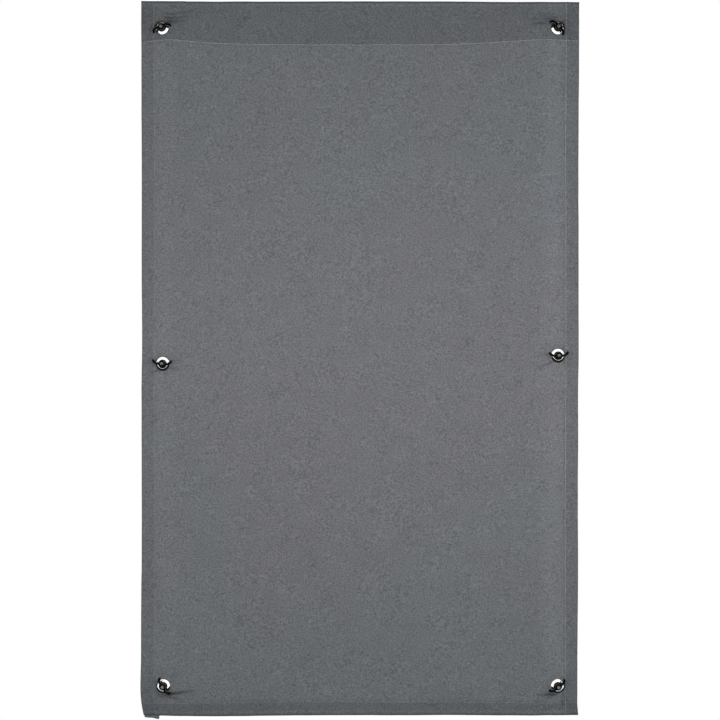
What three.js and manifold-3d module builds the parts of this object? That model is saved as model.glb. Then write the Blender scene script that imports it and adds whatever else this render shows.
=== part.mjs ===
// Roof-window sunshade panel: one hemmed rectangle of coated cloth, held to the pane by six
// suction cups. Each cup carries a threaded stud that passes through a metal eyelet in the
// cloth, and a winged nut on the room side clamps the cloth between nut and cup.
//
// Millimetres. +X is right and +Z is up, both seen from the room. +Y points at the window pane,
// and the pane's surface is the plane y = 0. The origin is the panel's centre on that plane.
import * as THREE from 'three';
import { mergeVertices } from 'three/addons/utils/BufferGeometryUtils.js';
import Module from 'manifold-3d';

const wasm = await Module();
wasm.setup();

// ---- Driving dimensions ------------------------------------------------------------------

const GAP = 0.3; // air left between pieces that touch
const CUT_OVERRUN = 1; // how far a cutter runs past the face that it cuts

// Cloth
const PANEL_WIDTH = 590;
const PANEL_HEIGHT = 965;
const CLOTH = 0.5; // thickness of one layer
const SIDE_SEAM = 17; // edge of the panel to the line of stitches
const TOP_SEAM = 58;
const BOTTOM_SEAM = 17.5;
const HEM_MARGIN = 1.5; // cloth of a hem beyond its stitches
const TAIL_DROP = 5; // the left hem's end hangs this far below the bottom edge
const TAIL_WIDTH = 20.5;
const TAIL_INSET = 4; // from the left edge to that end
const THREAD_WIDTH = 0.8;
const THREAD_THICK = 0.4;
const THREAD_END = 1.5; // from the end of a thread to the panel's edge

// Eyelet: a domed flange and barrel, rolled over a ring behind the cloth
const EYELET_HOLE_R = 4.2;
const EYELET_WALL = 0.7;
const FLANGE_R = 9.5;
const FLANGE_RISE = 2; // height of the dome's crest above the cloth
const FLANGE_RIM = 0.4; // thickness at the flange's outer edge
const ROLL_R = 6.6;
const ROLL_THICK = 1;
const RING_R = 8.5;
const RING_THICK = 0.6;

// Places of the eyelets in the cloth
const SIDE_CLEAR = 0.4; // least room from the ring to the hems' steps, and from flange to stitches
const TOP_SEAM_CLEAR = 11.5; // from the top seam up to the flange
const BOTTOM_INSET = 41.3; // from the bottom edge to the lowest eyelets
const MID_STAGGER = 5.5; // the left middle eyelet sits this much below the mark, the right above
const MID_HEIGHT = -2; // height of that mark over the panel's middle

// Suction cup
const CUP_R = 21;
const CUP_HEIGHT = 15; // pane to the top of the neck, where the cup holds one layer of cloth
const CUP_LAND = 2.4; // width of the flat band that seals on the pane
const CUP_EDGE = 1; // thickness of the rim
const CUP_HOLLOW = 3.2; // depth of the hollow at its middle
const SHOULDER_SAG = 0.6; // share of its height where the bell's curve is drawn in to
const NECK_R = 7;
const NECK_LENGTH = 5;

// Stud
const STUD_R = 2.5;
const STUD_HEAD_R = 5.4;
const STUD_HEAD_THICK = 1.4;
const STUD_HEAD_DEPTH = 3; // from the top of the neck to the head
const STUD_PROUD = 4; // stud beyond the nut's face
const STUD_CHAMFER = 0.5;

// Winged nut
const NUT_BASE_R = 5;
const NUT_FACE_R = 4.3;
const NUT_HEIGHT = 7.5;
const WING_REACH = 14; // axis to the tip of a wing
const WING_RISE = 11.5; // base of the nut to the top of a wing
const WING_BULGE = 0.72; // share of the rise where a wing reaches furthest
const WING_CROWN = 0.8; // share of the reach where its top edge ends
const WING_VALLEY = 0.95; // share of the rise that the top edge's hollow is drawn to
const WING_HEEL = 0.8; // share of the nut's face radius where that edge starts
const WING_HEEL_HEIGHT = 0.93; // share of the nut's height where it starts
const WING_ROOT_HALF = 1.2; // half thickness beside the hub
const WING_TIP_HALF = 1.8; // half thickness of the rounded tip
const WING_SWEEP = 14; // degrees that each wing leans out of the line through the axis

// Facets
const TURNED_SIDES = 20; // round the rings and the nuts
const CUP_SIDES = 24;
const STUD_SIDES = 12;
const DOME_STEPS = 4;
const HOLLOW_STEPS = 3;
const SHOULDER_STEPS = 4;
const WING_STEPS = 4; // along each curve of a wing

// ---- Levels along y, worked out from the pane towards the room ---------------------------

const clampDepth = GAP + ROLL_THICK + GAP + RING_THICK + GAP;
const panelBack = -(CUP_HEIGHT + clampDepth);
const panelFront = panelBack - CLOTH;
const flangeBack = panelFront - GAP;
const layerStep = CLOTH + GAP; // one more layer of cloth
const hemInner = panelBack + GAP; // face of a hem that looks at the panel

// ---- Places ------------------------------------------------------------------------------

const halfWidth = PANEL_WIDTH / 2;
const halfHeight = PANEL_HEIGHT / 2;
const sideHemEdge = halfWidth - SIDE_SEAM - HEM_MARGIN; // free edge of a side hem
const sideSeamX = halfWidth - SIDE_SEAM;
const hemRiser = sideHemEdge - GAP; // where a hem across steps back over a side hem
const ringLimit = hemRiser - CLOTH - RING_R;
const flangeLimit = sideSeamX - THREAD_WIDTH / 2 - FLANGE_R;
const eyeletX = Math.min(ringLimit, flangeLimit) - SIDE_CLEAR;
const topEyeletZ = halfHeight - TOP_SEAM + TOP_SEAM_CLEAR + FLANGE_R;
const bottomEyeletZ = -halfHeight + BOTTOM_INSET;

// inboard: how far the eyelet was set towards the panel's middle from the common line.
// layers: layers of cloth that the eyelet holds.
// angle: how far the nut is turned when the panel is up, counterclockwise seen from the room.
const fasteners = [
  { place: 'top_left', side: -1, inboard: 0, z: topEyeletZ, layers: 2, angle: 202 },
  { place: 'top_right', side: 1, inboard: 0, z: topEyeletZ, layers: 2, angle: 134 },
  { place: 'mid_left', side: -1, inboard: 1.3, z: MID_HEIGHT - MID_STAGGER, layers: 1, angle: -4 },
  { place: 'mid_right', side: 1, inboard: 0, z: MID_HEIGHT + MID_STAGGER, layers: 1, angle: 2 },
  { place: 'bottom_left', side: -1, inboard: 2, z: bottomEyeletZ, layers: 1, angle: -55 },
  { place: 'bottom_right', side: 1, inboard: 0.3, z: bottomEyeletZ, layers: 1, angle: 36 },
];
for (const fastener of fasteners) fastener.x = fastener.side * (eyeletX - fastener.inboard);
const clothHoleR = EYELET_HOLE_R + EYELET_WALL + GAP;

// ---- Materials ---------------------------------------------------------------------------

const finish = (color, roughness, metalness) =>
  new THREE.MeshStandardMaterial({ color, roughness, metalness });
const cloth = finish(0x6d7073, 0.85, 0);
const hemCloth = finish(0x5e6164, 0.85, 0);
const thread = finish(0x9c9fa2, 0.7, 0);
const nickel = finish(0xc9ccd0, 0.15, 1);
const clearVinyl = finish(0xd9dedf, 0.2, 0);
const zincSteel = finish(0xa6a9ad, 0.35, 1);
const blackNylon = finish(0x101012, 0.4, 0);

// ---- Solid helpers -----------------------------------------------------------------------

const group = new THREE.Group();

function add(name, geometry, material, parent = group) {
  const mesh = new THREE.Mesh(geometry, material);
  mesh.name = name;
  parent.add(mesh);
  return mesh;
}

// Turns a profile of [radius, y] points about the y axis. The points run from the pane side out
// and round to the room side, and LatheGeometry wants them in the opposite order.
function turned(profile, sides) {
  const points = profile.map(([r, y]) => new THREE.Vector2(r, y)).reverse();
  points.push(points[0].clone());
  return new THREE.LatheGeometry(points, sides);
}

// A flat outline in x and z, given as a shape, thickened from y = back towards the room.
function plate(shape, back, thick) {
  const geometry = new THREE.ExtrudeGeometry(shape, {
    depth: thick,
    bevelEnabled: false,
    curveSegments: TURNED_SIDES / 2,
  });
  return geometry.rotateX(Math.PI / 2).translate(0, back, 0);
}

function rectangle(x0, z0, x1, z1) {
  return new THREE.Shape([
    new THREE.Vector2(x0, z0),
    new THREE.Vector2(x1, z0),
    new THREE.Vector2(x1, z1),
    new THREE.Vector2(x0, z1),
  ]);
}

function roundHole(x, z, r) {
  return new THREE.Path().absarc(x, z, r, 0, 2 * Math.PI, true);
}

function solidOf(geometry) {
  const bare = geometry.clone();
  bare.deleteAttribute('normal');
  bare.deleteAttribute('uv');
  const merged = mergeVertices(bare);
  return new wasm.Manifold(
    new wasm.Mesh({
      numProp: 3,
      vertProperties: merged.attributes.position.array,
      triVerts: new Uint32Array(merged.index.array),
    }),
  );
}

function geometryOf(solid) {
  const { vertProperties, triVerts } = solid.getMesh();
  const geometry = new THREE.BufferGeometry();
  geometry.setAttribute('position', new THREE.BufferAttribute(vertProperties, 3));
  geometry.setIndex(new THREE.BufferAttribute(triVerts, 1));
  return geometry;
}

function boreCutter(x, z, r, back, front) {
  const length = back - front + 2 * CUT_OVERRUN;
  return new THREE.CylinderGeometry(r, r, length, TURNED_SIDES).translate(x, (back + front) / 2, z);
}

// ---- Cloth and stitches ------------------------------------------------------------------

function panelCloth() {
  const outline = rectangle(-halfWidth, -halfHeight, halfWidth, halfHeight);
  for (const { x, z } of fasteners) outline.holes.push(roundHole(x, z, clothHoleR));
  return plate(outline, panelBack, CLOTH);
}

function rightHem() {
  const outline = rectangle(sideHemEdge, -halfHeight, halfWidth, halfHeight);
  return plate(outline, hemInner + CLOTH, CLOTH);
}

// The left hem was cut a little long, so its end shows under the bottom edge.
function leftHem() {
  const tailTop = -halfHeight - GAP;
  const tailEnd = -halfHeight - TAIL_DROP;
  const tailOuter = -halfWidth + TAIL_INSET;
  const outline = new THREE.Shape([
    new THREE.Vector2(-halfWidth, halfHeight),
    new THREE.Vector2(-halfWidth, -halfHeight),
    new THREE.Vector2(tailOuter, -halfHeight),
    new THREE.Vector2(tailOuter, tailEnd),
    new THREE.Vector2(tailOuter + TAIL_WIDTH, tailEnd),
    new THREE.Vector2(tailOuter + TAIL_WIDTH, tailTop),
    new THREE.Vector2(-sideHemEdge, tailTop),
    new THREE.Vector2(-sideHemEdge, halfHeight),
  ]);
  return plate(outline, hemInner + CLOTH, CLOTH);
}

// A strip across the panel. Each step is [x where it starts, y of the face next to the cloth].
// away is 1 for a strip behind the cloth, and -1 for one in front of it.
function steppedStrip({ steps, end, thick, away, z0, z1 }) {
  const [first, ...others] = steps;
  const near = [new THREE.Vector2(...first)];
  const far = [new THREE.Vector2(first[0], first[1] + away * thick)];
  let level = first[1];
  for (const [x, y] of others) {
    const lift = Math.sign(away * (y - level)); // 1 where the strip steps off the cloth
    near.push(new THREE.Vector2(x, level), new THREE.Vector2(x, y));
    for (const farY of [level, y]) far.push(new THREE.Vector2(x - lift * thick, farY + away * thick));
    level = y;
  }
  near.push(new THREE.Vector2(end, level));
  far.push(new THREE.Vector2(end, level + away * thick));
  const section = new THREE.Shape([...near, ...far.reverse()]);
  const geometry = new THREE.ExtrudeGeometry(section, { depth: z1 - z0, bevelEnabled: false });
  return geometry.translate(0, 0, z0);
}

// What lies across the back steps over the two side hems.
function stripOverSideHems({ inner, thick, riser, reach, z0, z1 }) {
  const outer = inner + layerStep;
  const steps = [[-reach, outer], [-riser, inner], [riser, outer]];
  return steppedStrip({ steps, end: reach, thick, away: 1, z0, z1 });
}

const topHemLow = halfHeight - TOP_SEAM - HEM_MARGIN;
const bottomHemHigh = -halfHeight + BOTTOM_SEAM + HEM_MARGIN;
const hemAcross = { inner: hemInner, thick: CLOTH, riser: hemRiser, reach: halfWidth };

function topHem() {
  let solid = solidOf(stripOverSideHems({ ...hemAcross, z0: topHemLow, z1: halfHeight }));
  for (const { x, z } of fasteners.filter(({ layers }) => layers === 2)) {
    solid = solid.subtract(solidOf(boreCutter(x, z, clothHoleR, hemInner + CLOTH, hemInner)));
  }
  return geometryOf(solid);
}

function bottomHem() {
  return stripOverSideHems({ ...hemAcross, z0: -halfHeight, z1: bottomHemHigh });
}

// The two threads of each lockstitch seam lie on the front face and on the back of the hem.
const threadFront = panelFront - GAP; // back face of a thread on the room side
const threadBack = hemInner + CLOTH + GAP; // front face of a thread behind a hem
const threadReach = halfWidth - THREAD_END;
const topSeamZ = halfHeight - TOP_SEAM;
const bottomSeamZ = -halfHeight + BOTTOM_SEAM;

function sideThread(side, back, z0, z1) {
  const x = side * sideSeamX;
  return plate(rectangle(x - THREAD_WIDTH / 2, z0, x + THREAD_WIDTH / 2, z1), back, THREAD_THICK);
}

function sideNeedleThread(side) {
  return sideThread(side, threadFront, -halfHeight + THREAD_END, halfHeight - THREAD_END);
}

// The hems across cover the ends of this one.
function sideBobbinThread(side) {
  return sideThread(side, threadBack + THREAD_THICK, bottomHemHigh + GAP, topHemLow - GAP);
}

// Crosses in front of the two side threads.
function crossNeedleThread(z) {
  const lifted = threadFront - THREAD_THICK - GAP;
  const halfBridge = THREAD_WIDTH / 2 + GAP;
  const steps = [
    [-threadReach, threadFront],
    [-sideSeamX - halfBridge, lifted],
    [-sideSeamX + halfBridge, threadFront],
    [sideSeamX - halfBridge, lifted],
    [sideSeamX + halfBridge, threadFront],
  ];
  const [z0, z1] = [z - THREAD_WIDTH / 2, z + THREAD_WIDTH / 2];
  return steppedStrip({ steps, end: threadReach, thick: THREAD_THICK, away: -1, z0, z1 });
}

function crossBobbinThread(z) {
  return stripOverSideHems({
    inner: threadBack,
    thick: THREAD_THICK,
    riser: hemRiser - CLOTH - GAP,
    reach: threadReach,
    z0: z - THREAD_WIDTH / 2,
    z1: z + THREAD_WIDTH / 2,
  });
}

// ---- Eyelet ------------------------------------------------------------------------------

const crestR = (EYELET_HOLE_R + FLANGE_R) / 2;

// Height of the domed flange over the cloth at a radius: zero slope at the crest.
function domeHeight(r) {
  const across = Math.abs(r - crestR) / (FLANGE_R - crestR);
  return FLANGE_RIM + (FLANGE_RISE - FLANGE_RIM) * (1 - across * across);
}

function eyelet(layers) {
  const rollFront = panelBack + (layers - 1) * layerStep + GAP + RING_THICK + GAP;
  const barrelR = EYELET_HOLE_R + EYELET_WALL;
  const profile = [
    [EYELET_HOLE_R, rollFront + ROLL_THICK],
    [ROLL_R, rollFront + ROLL_THICK],
    [ROLL_R, rollFront],
    [barrelR, rollFront],
    [barrelR, flangeBack],
    [FLANGE_R, flangeBack],
  ];
  for (let i = 0; i <= DOME_STEPS; i++) {
    const r = FLANGE_R + (EYELET_HOLE_R - FLANGE_R) * (i / DOME_STEPS);
    profile.push([r, flangeBack - domeHeight(r)]);
  }
  return turned(profile, TURNED_SIDES);
}

function eyeletRing(layers) {
  const front = panelBack + (layers - 1) * layerStep + GAP;
  return turned(
    [
      [clothHoleR, front],
      [clothHoleR, front + RING_THICK],
      [RING_R, front + RING_THICK],
      [RING_R, front],
    ],
    TURNED_SIDES,
  );
}

// ---- Suction cup and stud ----------------------------------------------------------------

// Two layers of cloth take the room of one more layer out of the soft neck.
const neckTop = (layers) => -(CUP_HEIGHT - (layers - 1) * layerStep);

function suctionCup(layers) {
  const top = neckTop(layers);
  const neckFoot = -(CUP_HEIGHT - NECK_LENGTH);
  const boreR = STUD_R + GAP;
  const pocketR = STUD_HEAD_R + GAP;
  const pocketTop = top + STUD_HEAD_DEPTH - GAP;
  const pocketFloor = top + STUD_HEAD_DEPTH + STUD_HEAD_THICK + GAP;
  const sealR = CUP_R - CUP_LAND;
  const profile = [];
  for (let i = 0; i <= HOLLOW_STEPS; i++) {
    const r = (sealR * i) / HOLLOW_STEPS;
    profile.push([r, -CUP_HOLLOW * (1 - (r / sealR) ** 2)]);
  }
  profile.push([CUP_R, 0], [CUP_R, -CUP_EDGE]);
  const shoulder = new THREE.QuadraticBezierCurve(
    new THREE.Vector2(CUP_R, -CUP_EDGE),
    new THREE.Vector2((CUP_R + NECK_R) / 2, (neckFoot - CUP_EDGE) * SHOULDER_SAG),
    new THREE.Vector2(NECK_R, neckFoot),
  );
  for (const p of shoulder.getPoints(SHOULDER_STEPS).slice(1)) profile.push([p.x, p.y]);
  profile.push(
    [NECK_R, top],
    [boreR, top],
    [boreR, pocketTop],
    [pocketR, pocketTop],
    [pocketR, pocketFloor],
    [0, pocketFloor],
  );
  return turned(profile, CUP_SIDES);
}

function stud(layers) {
  const headFront = neckTop(layers) + STUD_HEAD_DEPTH;
  const tip = nutBase - NUT_HEIGHT - STUD_PROUD;
  return turned(
    [
      [0, headFront + STUD_HEAD_THICK],
      [STUD_HEAD_R, headFront + STUD_HEAD_THICK],
      [STUD_HEAD_R, headFront],
      [STUD_R, headFront],
      [STUD_R, tip + STUD_CHAMFER],
      [STUD_R - STUD_CHAMFER, tip],
      [0, tip],
    ],
    STUD_SIDES,
  );
}

// ---- Winged nut --------------------------------------------------------------------------

// The nut's foot rests in the dish of the domed flange, where the flange is as wide as the foot.
const nutBase = flangeBack - domeHeight(NUT_BASE_R) - GAP;
const wingLow = nutBase - flangeBack + FLANGE_RISE + 2 * GAP; // lowest edge of a wing over the base

function nutHub() {
  return turned(
    [
      [0, nutBase],
      [NUT_BASE_R, nutBase],
      [NUT_FACE_R, nutBase - NUT_HEIGHT],
      [0, nutBase - NUT_HEIGHT],
    ],
    TURNED_SIDES,
  );
}

// One wing along +x: its plan, seen along the axis, met by its side view.
function wing() {
  const tipX = WING_REACH - WING_TIP_HALF;
  const plan = new THREE.Shape();
  plan.moveTo(0, -WING_ROOT_HALF);
  plan.lineTo(NUT_BASE_R, -WING_ROOT_HALF);
  plan.lineTo(tipX, -WING_TIP_HALF);
  plan.absarc(tipX, 0, WING_TIP_HALF, -Math.PI / 2, Math.PI / 2, false);
  plan.lineTo(NUT_BASE_R, WING_ROOT_HALF);
  plan.lineTo(0, WING_ROOT_HALF);
  const planSolid = new THREE.ExtrudeGeometry(plan, {
    depth: WING_RISE, bevelEnabled: false, curveSegments: WING_STEPS,
  }).rotateX(Math.PI / 2).translate(0, nutBase, 0);

  // Heights over the nut's base, seen from the side.
  const side = new THREE.Shape();
  side.moveTo(0, wingLow);
  side.lineTo(NUT_BASE_R, wingLow);
  side.quadraticCurveTo(WING_REACH, wingLow, WING_REACH, WING_RISE * WING_BULGE);
  side.quadraticCurveTo(WING_REACH, WING_RISE, WING_REACH * WING_CROWN, WING_RISE);
  const heel = [NUT_FACE_R * WING_HEEL, NUT_HEIGHT * WING_HEEL_HEIGHT];
  side.quadraticCurveTo(NUT_BASE_R, WING_RISE * WING_VALLEY, ...heel);
  side.lineTo(0, heel[1]);
  const sideSolid = new THREE.ExtrudeGeometry(side, {
    depth: 2 * WING_TIP_HALF + 2 * CUT_OVERRUN, bevelEnabled: false, curveSegments: WING_STEPS,
  });
  sideSolid.rotateX(Math.PI).translate(0, nutBase, WING_TIP_HALF + CUT_OVERRUN);
  return solidOf(planSolid).intersect(solidOf(sideSolid));
}

function wingNut() {
  const blank = wing();
  const bore = solidOf(boreCutter(0, 0, STUD_R + GAP, nutBase, nutBase - NUT_HEIGHT));
  const solid = solidOf(nutHub())
    .add(blank.rotate([0, -WING_SWEEP, 0]))
    .add(blank.rotate([0, 180 + WING_SWEEP, 0]))
    .subtract(bore);
  return geometryOf(solid);
}

// ---- Assembly ----------------------------------------------------------------------------

add('panel_cloth', panelCloth(), cloth);
add('top_hem', topHem(), hemCloth);
add('bottom_hem', bottomHem(), hemCloth);
add('left_hem', leftHem(), hemCloth);
add('right_hem', rightHem(), hemCloth);
for (const [name, side] of [['left', -1], ['right', 1]]) {
  add(`${name}_seam_needle_thread`, sideNeedleThread(side), thread);
  add(`${name}_seam_bobbin_thread`, sideBobbinThread(side), thread);
}
for (const [name, z] of [['top', topSeamZ], ['bottom', bottomSeamZ]]) {
  add(`${name}_seam_needle_thread`, crossNeedleThread(z), thread);
  add(`${name}_seam_bobbin_thread`, crossBobbinThread(z), thread);
}

for (const { place, x, z, layers, angle } of fasteners) {
  const station = new THREE.Group();
  station.position.set(x, 0, z);
  add(`eyelet_${place}`, eyelet(layers), nickel, station);
  add(`eyelet_ring_${place}`, eyeletRing(layers), nickel, station);
  add(`suction_cup_${place}`, suctionCup(layers), clearVinyl, station);
  add(`stud_${place}`, stud(layers), zincSteel, station);
  const nut = add(`wing_nut_${place}`, wingNut(), blackNylon, station);
  nut.rotation.y = -THREE.MathUtils.degToRad(angle);
  group.add(station);
}

export default group;
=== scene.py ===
"""Roof-window sunshade: hemmed grey cloth on six suction cups, with eyelets and winged nuts."""
import math

import bmesh
import bpy
import numpy as np
from mathutils import Matrix, Vector


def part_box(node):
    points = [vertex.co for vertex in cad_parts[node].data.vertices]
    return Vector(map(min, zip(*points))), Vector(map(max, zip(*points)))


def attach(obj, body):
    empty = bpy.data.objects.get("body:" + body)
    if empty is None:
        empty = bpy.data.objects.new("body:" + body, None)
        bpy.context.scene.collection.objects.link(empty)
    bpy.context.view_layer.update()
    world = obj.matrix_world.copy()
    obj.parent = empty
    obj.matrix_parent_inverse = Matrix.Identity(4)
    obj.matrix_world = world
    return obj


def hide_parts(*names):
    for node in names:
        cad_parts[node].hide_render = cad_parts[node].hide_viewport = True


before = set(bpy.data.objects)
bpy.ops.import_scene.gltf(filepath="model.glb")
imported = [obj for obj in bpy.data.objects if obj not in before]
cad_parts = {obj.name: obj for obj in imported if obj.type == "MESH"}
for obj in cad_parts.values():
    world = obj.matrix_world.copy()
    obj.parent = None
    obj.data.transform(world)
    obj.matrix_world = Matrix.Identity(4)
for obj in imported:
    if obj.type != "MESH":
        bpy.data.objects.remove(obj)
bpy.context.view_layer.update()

MM = 0.001

# ---- What the frame says ----

PLACES = ("top_left", "top_right", "mid_left", "mid_right", "bottom_left", "bottom_right")


def box_of(node):
    low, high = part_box(node)
    return Vector(low), Vector(high)


cloth_low, cloth_high = box_of("panel_cloth")
HALF_WIDTH = cloth_high.x
HALF_HEIGHT = cloth_high.z
SHEET_LEVEL = (cloth_low.y + cloth_high.y) / 2  # middle of the cloth where the eyelets hold it

SIDE_HEM = HALF_WIDTH - box_of("right_hem")[0].x
TOP_HEM = HALF_HEIGHT - box_of("top_hem")[0].z
BOTTOM_HEM = HALF_HEIGHT + box_of("bottom_hem")[1].z


def middle(node):
    low, high = box_of(node)
    return (low + high) / 2


def half_width(node):
    low, high = box_of(node)
    return (high.x - low.x) / 2


SIDE_SEAM_X = middle("right_seam_needle_thread").x
TOP_SEAM_Z = middle("top_seam_needle_thread").z
BOTTOM_SEAM_Z = middle("bottom_seam_needle_thread").z
EYELETS = [middle(f"eyelet_{place}") for place in PLACES]


def from_eyelet(x, z):
    """Distance from the nearest eyelet's axis."""
    return np.min([np.hypot(x - eyelet.x, z - eyelet.z) for eyelet in EYELETS], axis=0)


# ---- Node trees as Python expressions ----


class Value:
    """A socket of a node tree, so that arithmetic on it adds Math nodes."""

    def __init__(self, tree, socket):
        self.tree = tree
        self.socket = socket

    def math(self, operation, *others):
        return self.tree.node("ShaderNodeMath", {"operation": operation}, [self, *others])

    def __add__(self, other):
        return self.math("ADD", other)

    def __mul__(self, other):
        return self.math("MULTIPLY", other)

    def __sub__(self, other):
        return self.math("SUBTRACT", other)

    def __rsub__(self, other):
        return self.tree.node("ShaderNodeMath", {"operation": "SUBTRACT"}, [other, self])

    __radd__ = __add__
    __rmul__ = __mul__

    def sin(self):
        return self.math("SINE")

    def step(self, start, end):
        """0 before start and 1 after end, with a soft ramp between them."""
        return self.tree.node(
            "ShaderNodeMapRange",
            {"interpolation_type": "SMOOTHSTEP"},
            {"Value": self, "From Min": start, "From Max": end},
        )


class Tree:
    """The node tree of one material or world."""

    def __init__(self, owner):
        owner.use_nodes = True
        self.owner = owner
        self.nodes = owner.node_tree.nodes
        self.links = owner.node_tree.links
        self.nodes.clear()

    def node(self, kind, settings=None, values=(), output=0):
        """A node of that kind: its settings first, then its sockets, by name or in order.

        Gives the output asked for, or with None the list of them all."""
        made = self.nodes.new(kind)
        for name, setting in (settings or {}).items():
            setattr(made, name, setting)
        pairs = values.items() if isinstance(values, dict) else enumerate(values)
        for key, value in pairs:
            if isinstance(value, Value):
                self.links.new(value.socket, made.inputs[key])
            else:
                made.inputs[key].default_value = value
        if output is None:
            return [Value(self, socket) for socket in made.outputs]
        return Value(self, made.outputs[output])

    def position(self):
        """The point on the piece, in metres, and its x, y and z."""
        point = self.node("ShaderNodeTexCoord", output="Object")
        return point, self.node("ShaderNodeSeparateXYZ", None, [point], None)

    def noise(self, point, size, detail=2.0, roughness=0.5):
        """Soft noise from 0 to 1, with features of about that size in metres."""
        values = {"Vector": point, "Scale": 1 / size, "Detail": detail, "Roughness": roughness}
        return self.node("ShaderNodeTexNoise", None, values)

    def stretched(self, point, scale):
        return self.node("ShaderNodeVectorMath", {"operation": "MULTIPLY"}, [point, scale])

    def mix(self, factor, low, high):
        """A colour from low to high."""
        return self.node(
            "ShaderNodeMix",
            {"data_type": "RGBA"},
            {0: factor, 6: (*low, 1), 7: (*high, 1)},
            output=2,
        )

    def tint(self, color, amount):
        """The colour, made darker or lighter by the amount."""
        return self.node("ShaderNodeVectorMath", {"operation": "SCALE"}, {0: color, 3: amount})

    def bump(self, height, distance, strength=1.0):
        values = {"Height": height, "Distance": distance, "Strength": strength}
        return self.node("ShaderNodeBump", None, values)

    def surface(self, **values):
        """A Principled shader, joined to the output. Gives the finished material."""
        named = {key.replace("_", " "): value for key, value in values.items()}
        shader = self.node("ShaderNodeBsdfPrincipled", None, named)
        self.node("ShaderNodeOutputMaterial", None, {"Surface": shader}, None)
        return self.owner


def new_material(name):
    return Tree(bpy.data.materials.new(name))


# ---- Finishes ----

YARN = 0.6 * MM  # pitch of the plain weave
SLUB = 1.1 * MM  # width of the uneven places in a yarn
GRAIN = 1.7 * MM  # size of the flecks that the yarns' colours make
SHADE = "shade"  # painted light and shade on the cloth, at each vertex


def weave(tree, point, x, z):
    """Height of a plain weave: warp and weft pass over each other, each yarn a bit uneven."""
    turn = 2 * math.pi / (2 * YARN)
    warp_slub = tree.noise(tree.stretched(point, (1, 1, 0.12)), SLUB, 1)
    weft_slub = tree.noise(tree.stretched(point, (0.12, 1, 1)), SLUB, 1)
    over = (x * turn).sin() * (z * turn).sin()
    return over * 0.3 + warp_slub * 0.5 + weft_slub * 0.5


def cloth_material(name, green, violet, roughness, shaded):
    """Woven polyester: flecked, a little blotchy, and greener towards its two ends."""
    tree = new_material(name)
    point, (x, _, z) = tree.position()
    yarns = weave(tree, point, x, z)
    grain = tree.noise(tree.stretched(point, (0.85, 1, 1)), GRAIN, 1, 0.4)
    blotch = tree.noise(point, 26 * MM, 3, 0.6)
    cloud = tree.noise(point, 170 * MM, 2, 0.5)
    middle_band = 0.15 - z * z * 1.5
    tone = (grain - 0.5) * 1.35 + (blotch - 0.5) * 0.16 + (yarns - 0.5) * 0.25 + 1
    color = tree.tint(tree.mix((cloud + middle_band).step(0.3, 0.7), green, violet), tone)
    # The shade attribute paints light and shade into the cloth's colour.
    if shaded:
        shade = tree.node("ShaderNodeAttribute", {"attribute_name": SHADE}, output="Fac")
        color = tree.tint(color, shade)
    wear = tree.noise(point, 9 * MM, 4, 0.7)
    return tree.surface(
        Base_Color=color,
        Roughness=roughness - 0.08 + wear * 0.16,
        Normal=tree.bump(yarns + grain * 1.2, 0.14 * MM, 0.8),
        Specular_IOR_Level=0.22,
        Sheen_Weight=0.08,
        Sheen_Roughness=0.5,
    )


def thread_material(name, low, high):
    """Twisted polyester, lighter in patches and towards the top; at its darkest it is nearly the
    cloth's colour.
    """
    tree = new_material(name)
    point, (x, y, z) = tree.position()
    twist = ((x + z + y * 0.6) * (2 * math.pi / (0.55 * MM))).sin() * 0.5 + 0.5
    fuzz = tree.noise(point, 0.35 * MM, 3, 0.7)
    patches_lighter_up = (tree.noise(point, 24 * MM, 3, 0.7) + z * 0.2).step(0.4, 0.62)
    color = tree.mix(twist * 0.25 + fuzz * 0.25 + patches_lighter_up * 0.5, low, high)
    return tree.surface(
        Base_Color=color,
        Roughness=0.55 + fuzz * 0.25,
        Normal=tree.bump(twist, 0.06 * MM, 0.7),
        Sheen_Weight=0.2,
    )


def nickel_material():
    """Bright plate with faint turning marks, small scratches and a little tarnish."""
    tree = new_material("nickel plate")
    point, _ = tree.position()
    scratch = tree.noise(tree.stretched(point, (1, 1, 7)), 0.7 * MM, 4, 0.7).step(0.56, 0.75)
    tarnish = tree.noise(point, 5 * MM, 4, 0.6)
    color = tree.mix(tarnish.step(0.35, 0.8), (0.8, 0.79, 0.77), (0.6, 0.59, 0.56))
    return tree.surface(
        Base_Color=color,
        Metallic=1.0,
        Roughness=0.07 + scratch * 0.12 + tarnish * 0.06,
        Normal=tree.bump(scratch, 0.02 * MM, 0.35),
    )


def zinc_material():
    """Dull zinc plate with a faint spangle."""
    tree = new_material("zinc plate")
    point, _ = tree.position()
    spangle = tree.noise(point, 1.4 * MM, 3, 0.6)
    dull = tree.noise(point, 3.5 * MM, 4, 0.7)
    color = tree.mix(spangle.step(0.3, 0.7), (0.12, 0.124, 0.13), (0.25, 0.256, 0.265))
    return tree.surface(
        Base_Color=color,
        Metallic=1.0,
        Roughness=0.42 + dull * 0.25,
        Normal=tree.bump(spangle, 0.02 * MM, 0.4),
    )


def nylon_material():
    """Black moulding with a fine spark-eroded texture, and paler rubs where fingers turn it."""
    tree = new_material("black nylon")
    point, (_, y, _) = tree.position()
    texture = tree.noise(point, 0.28 * MM, 3, 0.6)
    rub = tree.noise(point, 2.6 * MM, 4, 0.65).step(0.5, 0.8)
    color = tree.mix(rub, (0.003, 0.003, 0.0033), (0.011, 0.011, 0.012))
    return tree.surface(
        Base_Color=color,
        Roughness=0.42 + texture * 0.12 + rub * 0.1,
        Normal=tree.bump(texture, 0.03 * MM, 0.6),
        Specular_IOR_Level=0.2,
    )


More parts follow.
